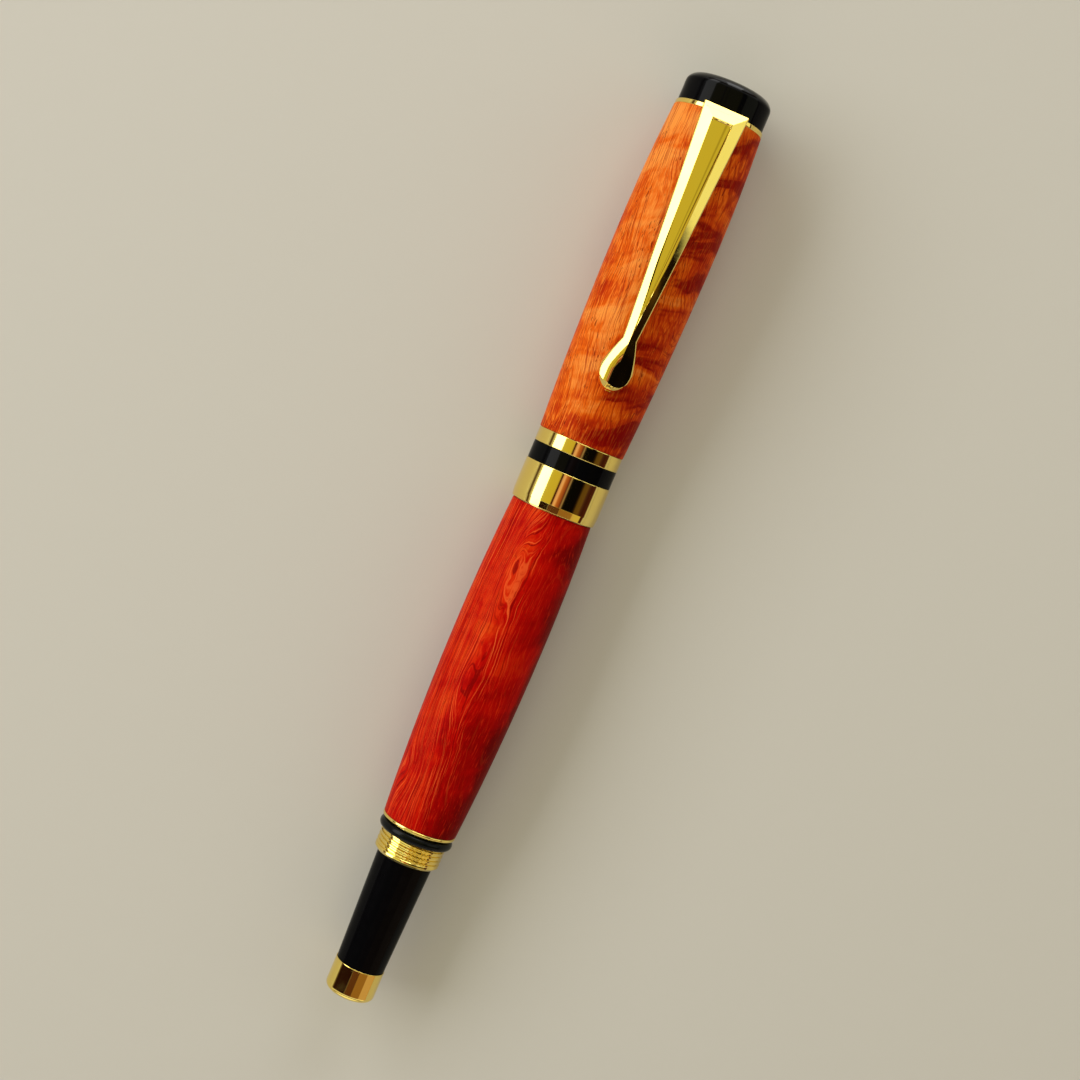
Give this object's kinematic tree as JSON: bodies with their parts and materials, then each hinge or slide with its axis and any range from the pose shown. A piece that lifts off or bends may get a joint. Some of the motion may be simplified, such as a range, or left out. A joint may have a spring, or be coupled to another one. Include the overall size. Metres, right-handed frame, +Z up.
{
  "type": "rollerball pen",
  "caption": "Capped rollerball pen with turned figured-wood sleeves, polished gold fittings, black finial and tail, sprung clip, screw cap and a refill behind a screw-in grip.",
  "frame": {"origin": "bottom centre of the bounding box: halfway along the closed pen, under its axis, at the height of the surface that it lies on", "axes": "+X along the pen's axis towards the finial, the tail end at -X; +Z up, through the clip"},
  "size_m": [0.1474, 0.015, 0.0177],
  "materials": {
    "barrel_wood": "gloss",
    "cap_wood": "gloss",
    "gold": "mirror",
    "brass": "plain",
    "gloss_black": "gloss",
    "rubber": "satin",
    "steel": "bright",
    "refill_body": "satin",
    "liner": "satin",
    "ink": "matt"
  },
  "bodies": {
    "barrel": {"barrel_wood": "barrel_wood", "barrel_tube": "brass", "front_coupler": "brass", "rear_coupler": "gold", "rear_trim_ring": "gold", "rear_o_ring": "rubber", "posting_sleeve": "gloss_black", "end_cap": "gold"},
    "spring": {"refill_spring": "steel"},
    "section": {"thread_collar": "gold", "grip": "gloss_black", "nose_cone": "gold"},
    "refill": {"refill_tube": "refill_body", "refill_tail_plug": "gloss_black", "ink_filler": "ink", "refill_front": "gloss_black", "feed_wick": "ink", "refill_point": "steel"},
    "ball": {"writing_ball": "steel"},
    "liner": {"cap_liner": "liner"},
    "cap": {"center_band": "gold", "accent_ring": "gloss_black", "upper_band": "gold", "cap_wood": "cap_wood", "cap_tube": "brass", "cap_bushing": "brass", "clip_ring": "gold", "finial": "gloss_black", "finial_stud": "brass"},
    "clip": {"clip_arm": "gold"}
  },
  "joints": [
    {"name": "section_draw", "type": "slide", "parent": "barrel", "child": "spring", "axis": [1, 0, 0], "range_m": [0, 0.076]},
    {"name": "section_turn", "type": "hinge", "parent": "spring", "child": "section", "pos_m": [0, 0, 0.00753], "axis": [1, 0, 0], "range_deg": [0, 3600]},
    {"name": "refill_press", "type": "slide", "parent": "section", "child": "refill", "axis": [-1, 0, 0], "range_m": [0, 0.001], "stiffness_N_per_m": 400, "springref_m": -0.002, "deforming": ["refill_spring"]},
    {"name": "ball_roll", "type": "hinge", "parent": "refill", "child": "ball", "pos_m": [0.04695, 0, 0.00753], "axis": [0, 1, 0], "continuous": true},
    {"name": "cap_draw", "type": "slide", "parent": "section", "child": "liner", "axis": [1, 0, 0], "range_m": [0, 0.062]},
    {"name": "cap_turn", "type": "hinge", "parent": "liner", "child": "cap", "pos_m": [0, 0, 0.00753], "axis": [1, 0, 0], "range_deg": [0, 630]},
    {"name": "clip_flex", "type": "hinge", "parent": "cap", "child": "clip", "pos_m": [0.06843, 0, 0.01638], "axis": [0, 1, 0], "range_deg": [0, 3], "stiffness_Nm_per_rad": 0.6}
  ]
}
